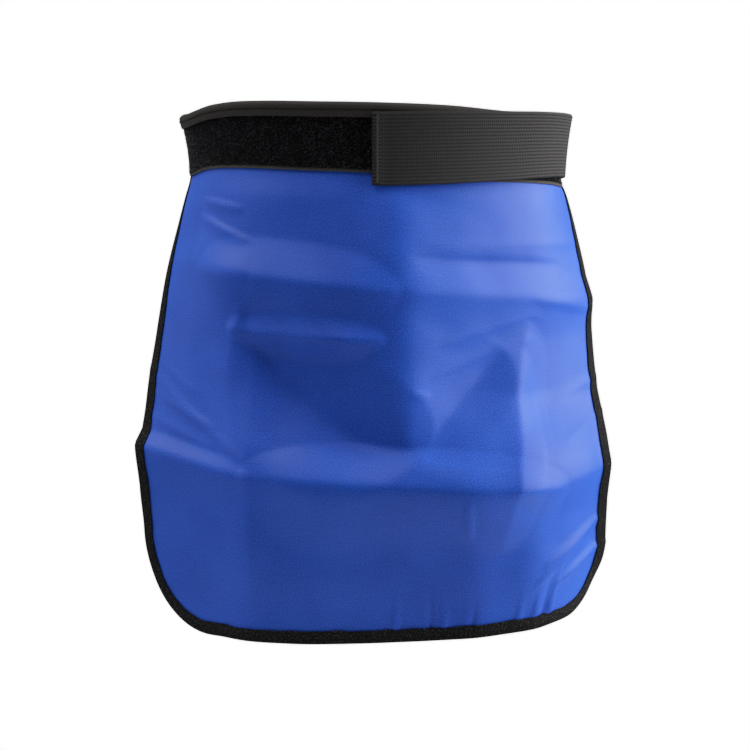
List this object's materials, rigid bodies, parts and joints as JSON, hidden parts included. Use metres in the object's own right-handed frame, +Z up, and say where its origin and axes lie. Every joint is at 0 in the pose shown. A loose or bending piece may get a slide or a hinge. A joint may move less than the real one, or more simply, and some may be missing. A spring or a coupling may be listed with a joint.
{
  "type": "gonad apron",
  "caption": "Short radiation apron as worn: a creased blue lead-rubber panel with black bound edges, hung from a wide strap that closes over a loop tape at the waist.",
  "frame": {"origin": "centre of the waist at the middle height of the band, where the wearer's waist holds it", "axes": "+Z up along the wearer, -Y towards the front that faces the viewer, +X to the viewer's right"},
  "size_m": [0.3366, 0.249, 0.3719],
  "materials": {
    "blue_nylon": "satin coated nylon with a fine weave, over lead rubber",
    "loop_pile": "black fuzzy loop pile",
    "binding_tape": "black folded twill tape",
    "webbing": "charcoal ribbed webbing",
    "hook_pile": "black hook tape"
  },
  "bodies": {
    "root": {"front_panel": "blue_nylon", "loop_tape": "loop_pile", "top_binding": "binding_tape", "edge_binding": "binding_tape", "waist_strap": "webbing", "hook_patch": "hook_pile"}
  },
  "joints": []
}
